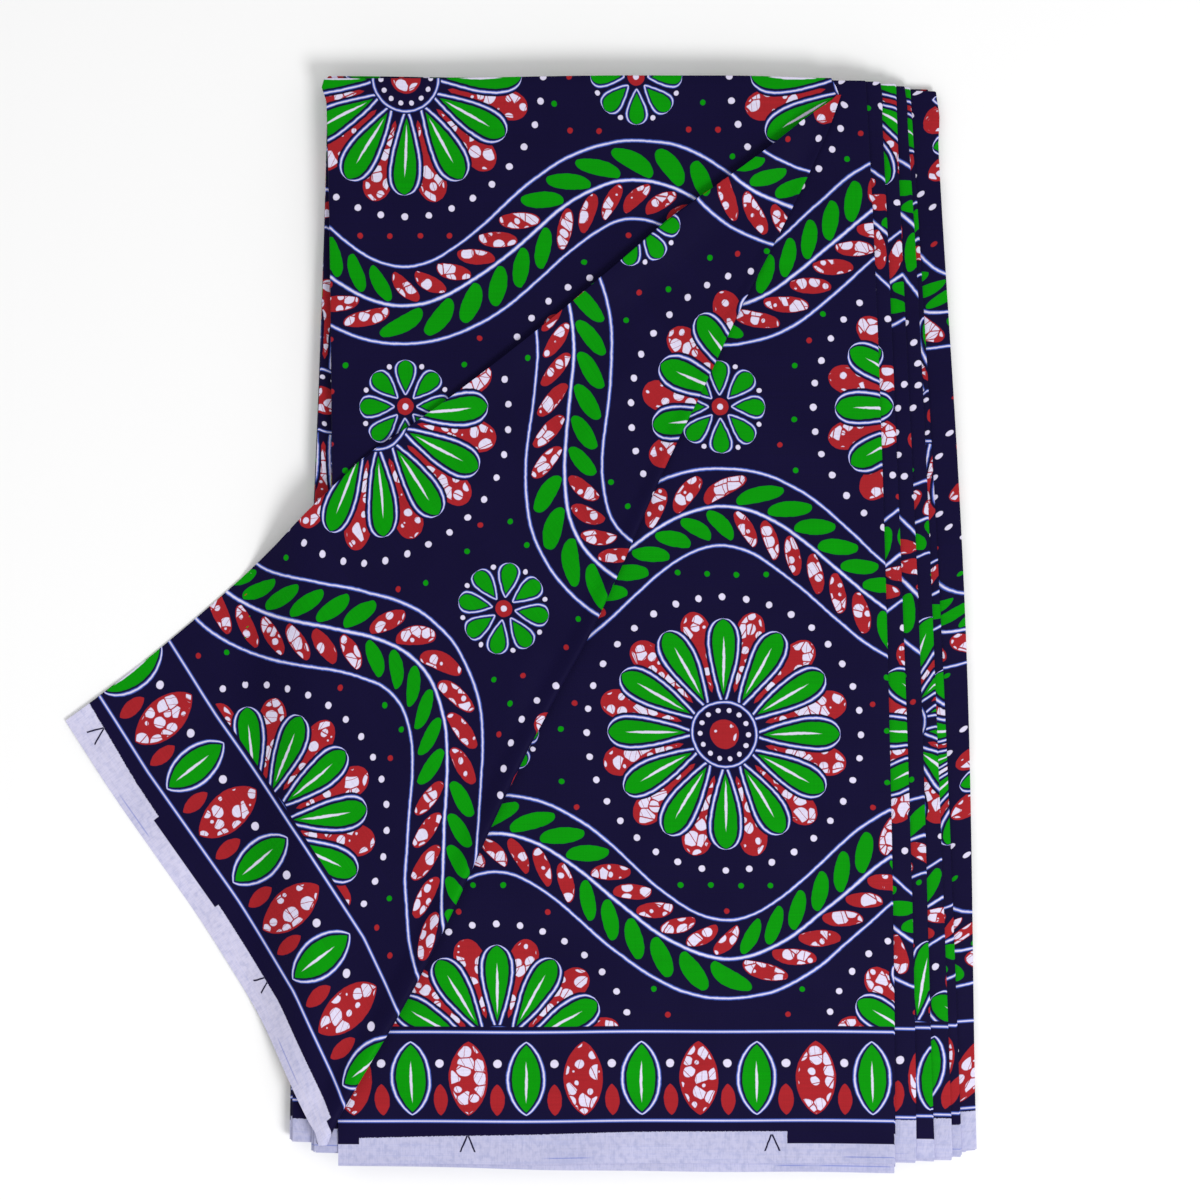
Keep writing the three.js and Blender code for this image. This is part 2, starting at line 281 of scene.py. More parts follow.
# Colours, as display values
NAVY = (12, 6, 46)
GREEN = (0, 141, 0)
BRICK = (158, 31, 38)
WHITE = (214, 208, 232)
HALO = (66, 92, 186)
SELVAGE_WHITE = (206, 203, 228)
SELVAGE_GREY = (168, 170, 204)

# The cotton
THREAD = 0.36  # period of the weave
TONE = {"streaks": 0.22, "slubs": 0.12, "cloud": 0.16}
ROUGHNESS = {"mean": 0.66, "streaks": 0.10, "cloud": 0.12}
RELIEF = {"weave": 0.03, "streaks": 0.10, "slubs": 0.07}  # in millimetres
BUMP_STRENGTH = 0.5
SPECULAR = 0.07
SHEEN = {"weight": 0.012, "roughness": 0.45}

# The studio, in metres and watts
FLOOR_HALF = 4.0
FLOOR_COLOUR = (0.92, 0.92, 0.92)
FLOOR_ROUGHNESS = 0.9
FLOOR_SPECULAR = 0.2
WORLD_STRENGTH = 0.66
#   (name, place, size, power)
LIGHTS = (
    ("key", (1.1, -1.3, 1.9), 1.0, 38.0),
    ("fill", (-1.6, 1.2, 2.4), 1.8, 6.0),
)
CAMERA_PLACE = (0.0427, 0.0132, 2.0)
CAMERA_LENS = 110.8
CAMERA_SENSOR = 36.0
CAMERA_CLIP_END = 20.0


def smooth(share):
    """Eases from 0 to 1."""
    share = np.clip(share, 0, 1)
    return share * share * (3 - 2 * share)


def swing(place, length, start=0.0):
    """Wave between -1 and 1 that moves on by a radian in each length."""
    return np.sin(place / length + start)


def station_curve(values, y):
    """Smooth curve through the five values at the stations."""
    fit = np.polyfit(STATION_Y, values, len(STATION_Y) - 1)
    return np.polyval(fit, y)


def side_edge(leaf, y):
    """x of the side edge where a leaf ends and the next begins."""
    edge = station_curve(RIGHT_FOLDS[leaf] if leaf % 2 == 0 else LEFT_FOLDS[leaf], y)
    if leaf in BULGES:
        middle, reach, half_width = BULGES[leaf]
        edge = edge + reach * np.exp(-(((y - middle) / half_width) ** 2))
    return edge


def turn_centre(fold_x, to_right):
    """x of the centre of the turn whose outside is at fold_x."""
    return fold_x - TURN_REACH if to_right else fold_x + TURN_REACH


def fold_at(leaf, y):
    """x of the turn's centre at the side edge where a leaf ends."""
    return turn_centre(side_edge(leaf, y), leaf % 2 == 0)


def ripple(x, y):
    """Slow, uneven unevenness between about -1 and 1."""
    slow = swing(x, length=61, start=0.7 * swing(y, length=83) + 1.1)
    slower = swing(y, length=97, start=x / 130 + 2.0)
    quick = swing(x - 0.6 * y, length=29, start=0.4)
    return 0.45 * slow + 0.35 * slower + 0.2 * quick


def creases(x, y, table):
    """Height of the soft ridges and troughs of a table at x, y."""
    total = np.zeros(np.broadcast(x, y).shape)
    for x0, y0, x1, y1, height, half_width in table:
        length = math.hypot(x1 - x0, y1 - y0)
        end = CREASE_END * length
        along = ((x - x0) * (x1 - x0) + (y - y0) * (y1 - y0)) / length
        bend = CREASE_BEND * length * np.sin(math.pi * np.clip(along / length, 0, 1))
        off = ((y - y0) * (x1 - x0) - (x - x0) * (y1 - y0)) / length - bend
        run = smooth(along / end) * smooth((length - along) / end)
        total = total + height * run * np.exp(-((off / half_width) ** 2))
    return total


def stack_height(x, y, level):
    """Height in the stack of what would be at that level if every leaf were flat."""
    near_run = smooth((NEAR_LIFT["start_y"] - y) / NEAR_LIFT["run"])
    near_wave = NEAR_LIFT["slow"] * swing(x, length=37, start=0.8)
    near_wave = near_wave + NEAR_LIFT["quick"] * swing(x, length=13)
    near_lift = near_run * (NEAR_LIFT["mean"] + near_wave)
    side_run = smooth((x - SIDE_LIFT["start_x"]) / SIDE_LIFT["run"])
    side_lift = side_run * SIDE_LIFT["height"] * swing(y, length=71, start=0.6)
    uneven = RIPPLE_HEIGHT * ripple(x, y) + near_lift + side_lift + creases(x, y, STACK_CREASES)
    return level + level / TOP_LEVEL * uneven


def leaf_end(leaf, column, x):
    """y of one end of a leaf, from its left and right values."""
    left, right = LEAF_ENDS[leaf][column], LEAF_ENDS[leaf][column + 1]
    share = np.clip((x - LEAF_LEFT_X) / LEAF_SPAN, -0.2, 1.2)
    wave = 0.3 * swing(x, length=43, start=1.7 * leaf + column)
    wave = wave + 0.15 * swing(x, length=17, start=2.3 * leaf)
    at_selvage = column < 4
    slant = 0.0
    if leaf >= SLANTED_CORNER["first_leaf"] and at_selvage:
        slant = SLANTED_CORNER["rise"] * max(x - SLANTED_CORNER["start_x"], 0.0)
    return left + (right - left) * share + wave + slant


def leaf_ends(leaf, x):
    """y where ply 1 and ply 2 of a leaf end, and y of its half fold."""
    return [leaf_end(leaf, column, x) for column in (0, 2, 4)]


class Rows:
    """The rows of a doubled piece: up ply 1, round the half fold, and back down ply 2."""

    def __init__(self, spacing, fixed):
        count = int((FAR_Y - NEAR_Y) / spacing)
        y = np.linspace(NEAR_Y, FAR_Y, count + 1)
        for value in fixed:
            y = np.append(y[abs(y - value) > 0.3 * spacing], value)
        y = np.sort(y)
        turn = np.linspace(-math.pi / 2, math.pi / 2, HALF_FOLD_ROWS + 2)[1:-1]
        self.y = np.concatenate((y, np.full(turn.size, FAR_Y), y[::-1]))
        self.share = (self.y - NEAR_Y) / (FAR_Y - NEAR_Y)
        sides = (np.full(y.size, -1.0), np.sin(turn), np.full(y.size, 1.0))
        self.side = np.concatenate(sides)
        bulges = (np.zeros(y.size), np.cos(turn), np.zeros(y.size))
        self.bulge = np.concatenate(bulges)
        self.half_fold = self.bulge > 0

    def depth(self, near_1, near_2, far):
        """y and t of each row, where the plies end at near_1 and near_2 and the half fold at far."""
        near = np.where(self.side < 0, near_1, near_2)
        y = near + (far - near) * self.share + PLY_OFFSET * self.bulge
        across = HALF_WIDTH * self.share
        t = np.where(self.side < 0, across, CLOTH_WIDTH - across)
        t = np.where(self.half_fold, HALF_WIDTH + PLY_OFFSET * self.side, t)
        return y, t


class Section:
    """Columns of one piece, in order along the cloth, each with a value for every row."""

    def __init__(self, rows):
        self.rows = rows
        self.columns = []

    def add(self, x, level, normal_x, normal_z, near_1, near_2, far):
        y, t = self.rows.depth(near_1, near_2, far)
        offset = PLY_OFFSET * self.rows.side
        column = {
            "x": x + normal_x * offset,
            "level": level + normal_z * offset,
            "middle_x": x,
            "middle_level": np.full(x.shape, level),
            "y": y,
            "t": t,
        }
        self.columns.append(column)

    def grid(self, name):
        return np.stack([column[name] for column in self.columns], axis=1)


def add_leaf(section, leaf, start_x, end_x):
    """The flat part of a leaf, from start_x to end_x, which are values for every row."""
    level = TOP_LEVEL - LEAF_PITCH * (leaf - 1)
    up = 1.0 if leaf % 2 == 0 else -1.0  # ply 2 is the upper one on even leaves
    for step in range(LEAF_STEPS + 1):
        x = start_x + (end_x - start_x) * step / LEAF_STEPS
        section.add(x, level, 0.0, up, *leaf_ends(leaf, x.mean()))


def add_turn(section, leaf, y):
    """The turn at the side edge from a leaf down to the next one."""
    outward = 1.0 if leaf % 2 == 0 else -1.0
    centre = fold_at(leaf, y)
    middle = TOP_LEVEL - LEAF_PITCH * (leaf - 0.5)
    for step in range(1, TURN_STEPS):
        share = step / TURN_STEPS
        turn = math.pi / 2 - math.pi * share
        x = centre + outward * TURN_RADIUS * math.cos(turn)
        level = middle + TURN_RADIUS * math.sin(turn)
        both = zip(leaf_ends(leaf, x.mean()), leaf_ends(leaf + 1, x.mean()))
        ends = [this + (following - this) * share for this, following in both]
        section.add(x, level, math.cos(turn), outward * math.sin(turn), *ends)


def length_along(section, start):
    """s of each column: the length of cloth passed so far, in each row."""
    x, level = section.grid("middle_x"), section.grid("middle_level")
    steps = np.hypot(np.diff(x, axis=1), np.diff(level, axis=1))
    travelled = np.concatenate((np.zeros((x.shape[0], 1)), np.cumsum(steps, axis=1)), axis=1)
    return start[:, None] + travelled


def cloth_mesh(name, points, cloth, keep=None):
    """A shell as thick as the cotton on a grid of points, with s and t in metres as its UV map."""
    rows, columns = points.shape[:2]
    index = np.arange(rows * columns).reshape(rows, columns)
    corners = (index[:-1, :-1], index[:-1, 1:], index[1:, 1:], index[1:, :-1])
    quads = np.stack(corners, axis=-1)
    quads = quads.reshape(-1, 4) if keep is None else quads[keep]
    used, faces = np.unique(quads, return_inverse=True)
    faces = faces.reshape(-1, 4)
    mesh = bpy.data.meshes.new(name)
    mesh.from_pydata((points.reshape(-1, 3)[used] * MM).tolist(), [], faces.tolist())
    layer = mesh.uv_layers.new(name="cloth")
    layer.data.foreach_set("uv", (cloth.reshape(-1, 2)[used][faces.ravel()] * MM).ravel())
    piece = bpy.data.objects.new(name, mesh)
    bpy.context.scene.collection.objects.link(piece)
    shell = piece.modifiers.new("cotton", "SOLIDIFY")
    shell.thickness = PLY * MM
    shell.offset = 0.0
    shell.use_even_offset = True
    shown = piece.evaluated_get(bpy.context.evaluated_depsgraph_get())
    solid = bpy.data.meshes.new_from_object(shown)
    piece.modifiers.clear()
    piece.data = solid
    bpy.data.meshes.remove(mesh)
    solid.name = name
    solid.shade_smooth()
    solid.set_sharp_from_angle(angle=math.radians(SHARP_ANGLE))
    return piece


def stack_cloth(name, first, last, start_s):
    """The leaves first to last with the turns between them, and s where the next piece starts."""
    section = Section(Rows(ROW_SPACING, FAR_ROWS))
    y = section.rows.y
    for leaf in range(first, last + 1):
        start_x = fold_at(leaf - 1, y)
        if leaf == first:
            start_x = start_x + PIECE_GAP
        add_leaf(section, leaf, start_x, fold_at(leaf, y))
        if leaf < LEAVES:
            add_turn(section, leaf, y)
    x, level = section.grid("x"), section.grid("level")
    depth, t = section.grid("y"), section.grid("t")
    points = np.stack((x, depth, stack_height(x, depth, level)), axis=-1)
    s = length_along(section, start_s)
    return cloth_mesh(name, points, np.stack((s, t), axis=-1)), s[:, -1]


def corner_lines(y):
    """x of the soft fold's outermost line and of the turned corner's outline, at y."""
    along, fold_off, outline_off = (CORNER_SECTIONS[:, i : i + 1] for i in range(3))
    fold = FOLD_START + along * FOLD_LINE + fold_off * FOLD_SIDE
    outline = FOLD_START + along * FOLD_LINE + outline_off * FOLD_SIDE
    ends = np.array((FOLD_START[1], CORNER_TIP[1], FOLD_END[1]))
    room = smooth(abs(y[:, None] - ends).min(axis=1) / LINE_SMOOTHING["room"])
    reach = LINE_SMOOTHING["reach"]
    shifts = np.linspace(-reach, reach, LINE_SMOOTHING["passes"])
    lines = []
    for points in (fold[::-1], outline[::-1]):
        passes = [np.interp(y + shift * room, points[:, 1], points[:, 0]) for shift in shifts]
        lines.append(np.mean(passes, axis=0))
    return lines


def corner_cloth_coordinates(x, y, side):
    """s and t in the turned corner, from its place in plan."""
    offset_x, offset_y = x - CORNER_TIP[0], y - CORNER_TIP[1]
    cross = ALONG_CUT[0] * ALONG_SELVAGE[1] - ALONG_CUT[1] * ALONG_SELVAGE[0]
    across = (offset_x * ALONG_SELVAGE[1] - offset_y * ALONG_SELVAGE[0]) / cross
    along = (ALONG_CUT[0] * offset_y - ALONG_CUT[1] * offset_x) / cross
    selvage_bow = np.interp(along, *zip(*SELVAGE_BOW))
    cut_bow = np.interp(across, *zip(*CUT_BOW))
    from_selvage = across - selvage_bow
    t = np.where(side < 0, from_selvage, CLOTH_WIDTH - from_selvage)
    return along - cut_bow, t


def drop_share(x):
    """How far the turned corner has come down, from 0 on the stack to 1 on the surface."""
    share = np.clip((DROP["start_x"] - x) / DROP["width"], 0, 1)
    return (1 - np.cos(math.pi * share)) / 2


class TopCloth:
    """Leaf 1: the turned corner, the soft fold, the rest of the leaf and its turn to leaf 2.

    It is made of columns in order along the cloth, each with a value for every row.
    """

    def __init__(self):
        fixed = (FOLD_END[1], CORNER_TIP[1], FOLD_START[1], *FAR_ROWS)
        self.rows = Rows(TOP_ROW_SPACING, fixed)
        self.y, self.side = self.rows.y, self.rows.side
        self.ply_1 = self.side < 0
        self.columns = []
        fold_x, self.outline_x = corner_lines(self.y)
        down = (FOLD_START[1] - self.y) / (FOLD_START[1] - FOLD_END[1])
        widening = ROLL_RADIUS["foot"] - ROLL_RADIUS["apex"]
        self.radius = ROLL_RADIUS["apex"] + widening * np.clip(down, 0, 1)
        self.radius_x = self.radius / -FOLD_SIDE[0]
        self.beyond_apex = self.y > FOLD_START[1] + SAME_ROW
        cut_share = np.clip((self.y - FOLD_START[1]) / (FAR_Y - FOLD_START[1]), 0, 1)
        cut_x = FOLD_START[0] + (CUT_EDGE_FAR_X - FOLD_START[0]) * cut_share
        roll_x = fold_x - self.radius_x - PLY_OFFSET - PLY / 2
        self.axis_x = np.where(self.beyond_apex, cut_x, roll_x)
        edge_x = np.minimum(side_edge(1, self.y), fold_x - TIP_WIDTH)
        self.end_x = np.minimum(turn_centre(edge_x, False), self.axis_x - LEAST_LEAF)
        t = np.where(self.ply_1, HALF_WIDTH - (FAR_Y - self.y), HALF_WIDTH + (FAR_Y - self.y))
        self.leaf_t = np.where(self.rows.half_fold, HALF_WIDTH + PLY_OFFSET * self.side, t)
        self.leaf_y = self.y + PLY_OFFSET * self.rows.bulge

    def place(self, x, y, z, s, t):
        self.columns.append((x, y, z, s, t))

    def add_corner(self):
        """The turned corner, from its outline to the soft fold."""
        y, side, axis_x = self.y, self.side, self.axis_x
        from_tip = np.hypot(self.outline_x - CORNER_TIP[0], y - CORNER_TIP[1])
        on_cut = y > CORNER_TIP[1]
        sliver = 0.9 * swing(from_tip, length=31, start=0.9) + 0.5 * swing(from_tip, length=11)
        peep = np.maximum(sliver, 0) * smooth(from_tip / SLIVER_RUN)
        outline = self.outline_x - np.where(on_cut & self.ply_1, peep, 0)
        outline = np.minimum(outline, axis_x - LEAST_WIDTH)
        cut_rise = CUT_LIFT["rise"] * smooth((from_tip - CUT_LIFT["start"]) / CUT_LIFT["run"])
        edge_lift = np.where(on_cut, CUT_LIFT["least"] + cut_rise, SELVAGE_LIFT)
        square = np.where(on_cut, SQUARE_SHARE["cut"], SQUARE_SHARE["selvage"])
        edge_wave = FLOOR_WAVE["height"] * np.maximum(swing(from_tip, length=23, start=1.0), 0)
        for step in range(CORNER_STEPS + 1):
            share = 1 - (1 - step / CORNER_STEPS) ** CORNER_CROWDING
            x = outline + (axis_x - outline) * share
            to_fold = (axis_x - x) * -FOLD_SIDE[0]
            from_edge = (x - outline) * square
            fallen = drop_share(x)
            apart = smooth(to_fold / FOLD_MARGIN)
            on_stack = stack_height(x, y, CORNER_LEVEL + side * PLY_OFFSET)
            settled = smooth(to_fold / (SETTLE * self.radius))
            on_stack = on_stack + (2 * self.radius - LEAF_PITCH) * (1 - settled)
            on_stack = on_stack + edge_lift * (1 - smooth(from_edge / LIFT_REACH)) * apart
            on_floor = FLOOR_LEVEL + side * PLY_OFFSET
            near_edge = smooth((FLOOR_WAVE["reach"] - from_edge) / FLOOR_WAVE["reach"])
            on_floor = on_floor + edge_wave * near_edge
            z = on_stack * (1 - fallen) + on_floor * fallen
            z = z + creases(x, y, CORNER_CREASES) * apart
            self.place(x, y, z, *corner_cloth_coordinates(x, y, side))

    def add_soft_fold(self):
        """The half turn from the turned corner down to the rest of the leaf."""
        leaf_z = stack_height(self.axis_x, self.y, TOP_LEVEL)
        reach_x = self.radius_x + self.side * PLY_OFFSET
        reach_z = self.radius + self.side * PLY_OFFSET
        for step in range(1, SOFT_FOLD_STEPS):
            turned = math.pi * step / SOFT_FOLD_STEPS
            x = self.axis_x + reach_x * math.sin(turned)
            z = leaf_z + self.radius + reach_z * math.cos(turned)
            unrolled_x = self.axis_x + self.radius_x * turned
            self.place(x, self.y, z, *corner_cloth_coordinates(unrolled_x, self.y, self.side))

    def add_rest(self):
        """The leaf from below the soft fold to its side edge."""
        far_run = smooth((self.y - FAR_RISE["start_y"]) / (FAR_Y - FAR_RISE["start_y"]))
        for step in range(TOP_LEAF_STEPS + 1):
            x = self.axis_x + (self.end_x - self.axis_x) * (step / TOP_LEAF_STEPS)
            start = smooth((x - FAR_RISE["start_x"]) / FAR_RISE["start_run"])
            end = smooth((FAR_RISE["end_x"] - x) / FAR_RISE["end_run"])
            y = self.leaf_y + FAR_RISE["height"] * far_run * start * end
            z = stack_height(x, self.y, TOP_LEVEL - self.side * PLY_OFFSET)
            self.place(x, y, z, FOLD_START[0] - x, self.leaf_t)

    def add_turn(self):
        """The turn down to leaf 2."""
        middle_z = stack_height(self.end_x, self.y, TOP_LEVEL - TURN_RADIUS)
        reach = TURN_RADIUS - self.side * PLY_OFFSET
        for step in range(1, TURN_STEPS + 1):
            turned = math.pi * step / TURN_STEPS
            x = self.end_x - reach * math.sin(turned)
            z = middle_z + reach * math.cos(turned)
            s = FOLD_START[0] - self.end_x + TURN_RADIUS * turned
            self.place(x, self.leaf_y, z, s, self.leaf_t)

    def mesh(self, name):
        grid = np.array(self.columns).transpose(2, 0, 1)
        keep = np.ones((grid.shape[0] - 1, grid.shape[1] - 1), dtype=bool)
        beyond_apex = self.beyond_apex[:-1] | self.beyond_apex[1:]
        keep[beyond_apex, : CORNER_STEPS + SOFT_FOLD_STEPS] = False
        before_foot = self.y < FOLD_END[1] - SAME_ROW
        keep[before_foot[:-1] | before_foot[1:]] = False
        return cloth_mesh(name, grid[:, :, :3], grid[:, :, 3:], keep)


def top_cloth(name):
    top = TopCloth()
    top.add_corner()
    top.add_soft_fold()
    top.add_rest()
    top.add_turn()
    return top.mesh(name)


class Value:
    """A number in the shader. Plain arithmetic on it adds the nodes."""

    tree = None

    def __init__(self, socket):
        self.socket = socket

    def math(self, operation, *others, clamp=False):
        node = Value.tree.nodes.new("ShaderNodeMath")
        node.operation = operation
        node.use_clamp = clamp
        for slot, item in zip(node.inputs, (self, *others)):
            if isinstance(item, Value):
                Value.tree.links.new(item.socket, slot)
            else:
                slot.default_value = item
        return Value(node.outputs[0])

    def __add__(self, other):
        return self.math("ADD", other)

    def __sub__(self, other):
        return self.math("SUBTRACT", other)

    def __rsub__(self, other):
        return self.math("MULTIPLY_ADD", -1.0, other)

    def __mul__(self, other):
        return self.math("MULTIPLY", other)

    def __truediv__(self, other):
        return self.math("DIVIDE", other)

    def __abs__(self):
        return self.math("ABSOLUTE")

    def sin(self):
        return self.math("SINE")

    def cos(self):
        return self.math("COSINE")

    def floor(self):
        return self.math("FLOOR")

    def power(self, exponent):
        return self.math("POWER", exponent)

    def least(self, other):
        return self.math("MINIMUM", other)

    def most(self, other):
        return self.math("MAXIMUM", other)

    def above(self, limit):
        return self.math("GREATER_THAN", limit)

    def below(self, limit):
        return self.math("LESS_THAN", limit)

    def odd(self):
        """1 for an odd whole number and 0 for an even one."""
        return self.math("PINGPONG", 1.0)

    def wrapped(self, period):
        """What is left over from the nearest multiple of period."""
        return self.math("WRAP", period / 2, -period / 2)

    def inside(self, softness=0.35):
        """1 where a depth is above nought and 0 where it is below, with a soft edge."""
        return self.math("MULTIPLY_ADD", 1 / softness, 0.5, clamp=True)

    def clamped(self):
        return self.math("MULTIPLY", 1.0, clamp=True)

    def swung(self, amount):
        """Noise that lies about a half, as a swing of that amount about nought."""
        return (self - 0.5) * amount

    def past(self, start, gain):
        """0 up to start, and from there up to 1 by gain."""
        return ((self - start) * gain).clamped()


def linear(red, green, blue):
    """Linear colour from display values between 0 and 255."""
    shares = [value / 255 for value in (red, green, blue)]
    return tuple(v / 12.92 if v < 0.0405 else ((v + 0.055) / 1.055) ** 2.4 for v in shares)


def new_node(kind, **settings):
    node = Value.tree.nodes.new(kind)
    for name, value in settings.items():
        setattr(node, name, value)
    return node


def joined(x, y):
    """The two numbers as one vector."""
    node = new_node("ShaderNodeCombineXYZ")
    Value.tree.links.new(x.socket, node.inputs[0])
    Value.tree.links.new(y.socket, node.inputs[1])
    return node.outputs[0]


def noise(s, t, name):
    """Noise texture whose grains have the named size."""
    size_s, size_t = NOISE[name]
    node = new_node("ShaderNodeTexNoise", noise_dimensions="2D")
    node.inputs["Scale"].default_value = 1.0
    Value.tree.links.new(joined(s / size_s, t / size_t), node.inputs["Vector"])
    return node


def noise_value(s, t, name):
    return Value(noise(s, t, name).outputs["Fac"])


def channels(socket):
    node = new_node("ShaderNodeSeparateColor")
    Value.tree.links.new(socket, node.inputs[0])
    return [Value(output) for output in node.outputs]


def mixed(share, below, above):
    """Colour that is below where share is 0 and above where it is 1."""
    node = new_node("ShaderNodeMix", data_type="RGBA")
    Value.tree.links.new(share.socket, node.inputs[0])
    for slot, colour in ((node.inputs[6], below), (node.inputs[7], above)):
        if isinstance(colour, tuple):
            slot.default_value = (*linear(*colour), 1.0)
        else:
            Value.tree.links.new(colour, slot)
    return node.outputs[2]


def painted(colour, layers):
    """The colour with layers over it, each a mask and its colour."""
    for mask, above in layers:
        colour = mixed(mask, colour, above)
    return colour


def within(layers, area):
    return [(mask * area, colour) for mask, colour in layers]


def drawn_line(distance, half_width):
    """White line with a blue edge, as layers."""
    spread = abs(distance)
    return [
        ((half_width + DRAWN_LINE["halo"] - spread).inside(0.6), HALO),
        ((half_width - DRAWN_LINE["core"] - spread).inside(0.5), WHITE),
    ]


def from_middle(x, y):
    return (x * x + y * y).power(0.5)


def dot_depth(x, y, radius):
    """Depth inside a round dot."""
    return radius - from_middle(x, y)


def wax_crackle(x, y):
    """Depth inside white bubbles of uneven size, as wax leaves them in a dyed area."""
    place = joined(x / CRACKLE_SIZE, y / CRACKLE_SIZE)
    edge = new_node("ShaderNodeTexVoronoi", voronoi_dimensions="2D", feature="DISTANCE_TO_EDGE")
    cell = new_node("ShaderNodeTexVoronoi", voronoi_dimensions="2D", feature="F1")
    for node in (edge, cell):
        node.inputs["Scale"].default_value = 1.0
        Value.tree.links.new(place, node.inputs["Vector"])
    size, way_x, way_y = channels(cell.outputs["Color"])
    bubble = size * 0.62 + 0.06 - Value(cell.outputs["Distance"])
    vein = Value(edge.outputs["Distance"]) - 0.05
    hairline = abs(((x * way_x + y * (way_y - 0.5)) * 1.1).sin()) - 0.10
    return bubble.least(vein).least(hairline * 0.5) * CRACKLE_SIZE


def beyond_ends(along, start, end):
    """How far a place lies before start or after end."""
    middle, half = (start + end) / 2, (end - start) / 2
    return (abs(along - middle) - half).most(0.0)


def leaf_depth(along, off, length, half_width, fullness=0.75):
    """Depth inside a leaf that lies from 0 to length with a point at each end."""
    share = (along / length).clamped()
    lens = share * (1.0 - share) * 4.0
    outside = beyond_ends(along, 0.0, length) * OUTSIDE_FALL
    return lens.power(fullness) * half_width - abs(off) - TIP_INSET - outside


def petal_depth(along, off, start, end, half_width):
    """Depth inside a petal that is narrow at its start and round at its end."""
    share = ((along - start) / (end - start)).clamped()
    belly = (1.0 - share.power(4.0)).power(0.5)
    width = share.power(0.8) * belly * half_width * 1.3
    return width - abs(off) - TIP_INSET - beyond_ends(along, start, end) * OUTSIDE_FALL


def ring_place(angle, radius, count, turned=0.0):
    """Along and across the nearest of count rays round a centre."""
    off_angle = (angle + turned).wrapped(2 * math.pi / count)
    return radius * off_angle.cos(), radius * off_angle.sin()


def flower(x, y, crackle):
    """Open flower with two rings of petals and a dotted centre, as layers."""
    petals, seeds_round, stamens = 12, 36, 14
    ground, seed_ring, eye, eye_line, stamen_ring = 90.0, 84.0, 21.5, 19.8, 15.0
    radius = from_middle(x, y) / FLOWER_SCALE
    angle = y.math("ARCTAN2", x)
    along, off = ring_place(angle, radius, petals)
    behind_along, behind_off = ring_place(angle, radius, petals, turned=math.pi / petals)
    seed_along, seed_off = ring_place(angle, radius, seeds_round)
    stamen_along, stamen_off = ring_place(angle, radius, stamens)
    seed = dot_depth(seed_along - seed_ring, seed_off, radius=2.0)
    stamen = dot_depth(stamen_along - stamen_ring, stamen_off, radius=1.5)
    behind = petal_depth(behind_along, behind_off, start=26.0, end=77.0, half_width=11.0)
    front = petal_depth(along, off, start=17.0, end=71.0, half_width=11.5)
    vein = leaf_depth(along - 27.0, off, length=34.0, half_width=1.1)
    heart = 9.0 - radius
    return [
        ((ground - radius).inside(), NAVY),
        (seed.inside(), WHITE),
        (behind.inside(), BRICK),
        ((behind - 1.8).least(crackle).inside(), WHITE),
        ((front + 2.2).inside(), NAVY),
        *drawn_line(front - 0.2, half_width=0.70),
        ((front - 2.6).inside(), GREEN),
        (vein.inside(), WHITE),
        ((eye - radius).inside(), NAVY),
        *drawn_line(radius - eye_line, half_width=0.6),
        (stamen.inside(), WHITE),
        (heart.inside(), BRICK),
        ((heart - 1.5).least(crackle).inside(), WHITE),
    ]


def rosette(x, y):
    """Small eight-petalled rosette, as layers."""
    petals, ground, dot_ring = 8, 37.0, 28.0
    radius = from_middle(x, y) / ROSETTE_SCALE
    angle = y.math("ARCTAN2", x)
    along, off = ring_place(angle, radius, petals)
    dot_along, dot_off = ring_place(angle, radius, petals, turned=math.pi / petals)
    petal = petal_depth(along, off, start=7.0, end=30.0, half_width=8.4)
    dot = dot_depth(dot_along - dot_ring, dot_off, radius=1.6)
    return [
        ((ground - radius).inside(), NAVY),
        (dot.inside(), WHITE),
        *drawn_line(petal - 0.2, half_width=0.60),
        ((petal - 2.0).inside(), GREEN),
        ((7.4 - radius).inside(), NAVY),
        ((5.6 - radius).inside(), BRICK),
        ((2.0 - radius).inside(), WHITE),
    ]


def garland_place(x, y):
    """How far a place is off the nearest garland's stem, and x of the stem's nearest point."""
    row = (y / ROW).floor()
    centre = row * ROW + ROW / 2
    sign = 1.0 - row.odd() * 2.0
    turn = x * (2 * math.pi / REPEAT)
    offset = y - centre - sign * turn.cos() * GARLAND_SWING
    slope = sign * turn.sin() * (-GARLAND_SWING * 2 * math.pi / REPEAT)
    flat = (slope * slope + 1.0).power(-0.5)
    return offset * flat, x + offset * slope * flat * flat


def garland(x, y, crackle):
    """Swinging stem with leaves on both sides, on plain ground, as layers."""
    off, foot = garland_place(x, y)
    foot_turn = foot * (2 * math.pi / REPEAT)
    along = foot * STEM_STRETCH - (foot_turn * 2.0).sin() * STEM_EASE
    spread = abs(off)
    swept = along - spread * LEAF_SWEEP
    pitch = STEM_STRETCH * REPEAT / GARLAND_LEAVES
    number = (swept / pitch).floor()
    local = swept - (number + 0.5) * pitch
    leaf = leaf_depth(spread - 1.6, local, length=16.4, half_width=6.7, fullness=0.62)
    red = ((number / GARLAND_RUN).floor() + off.above(0.0)).odd()
    return [
        ((GARLAND_REACH + 2.0 - spread).inside(), NAVY),
        ((leaf - 0.2).inside() * red, BRICK),
        ((leaf - 0.9).least(crackle).inside() * red, WHITE),
        ((leaf - 0.2).inside() * (1.0 - red), GREEN),
        *drawn_line(off, half_width=0.8),
        *drawn_line(spread - GARLAND_REACH, half_width=0.65),
    ]


